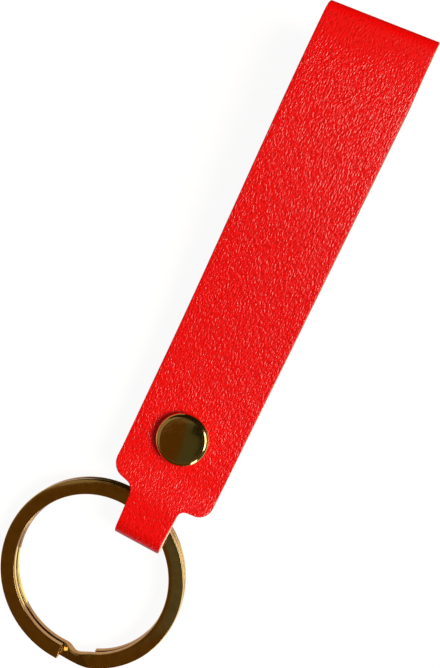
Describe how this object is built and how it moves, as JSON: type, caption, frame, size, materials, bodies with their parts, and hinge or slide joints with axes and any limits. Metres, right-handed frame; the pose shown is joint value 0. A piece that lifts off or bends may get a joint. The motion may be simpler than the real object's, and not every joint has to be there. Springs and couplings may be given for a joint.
{
  "type": "leather keychain",
  "caption": "Folded leather strap with a round double-cap rivet and a narrow neck that holds a flat-wire split ring.",
  "frame": {"origin": "on the plane the keychain lies on, at the middle of the back cap's flat back, on the rivet's axis", "axes": "+Z out of the front face, +Y along the strap from the split ring to the top fold, +X to the right seen from the front"},
  "size_m": [0.0361, 0.1302, 0.0124],
  "materials": {
    "red_leather": "pebble grain, satin",
    "polished_antique_brass": "polished",
    "plated_steel": "brass plated"
  },
  "bodies": {
    "strap": {"leather_strap": "red_leather", "rivet_front_cap": "polished_antique_brass", "rivet_socket": "plated_steel", "rivet_post": "plated_steel", "rivet_back_cap": "polished_antique_brass"},
    "ring": {"split_ring": "polished_antique_brass"}
  },
  "joints": [
    {"name": "ring_swing", "type": "hinge", "parent": "strap", "child": "ring", "pos_m": [0.00035, -0.01602, 0.00352], "axis": [-0.9461, 0.3239, 0], "range_deg": [-131, 108]}
  ]
}
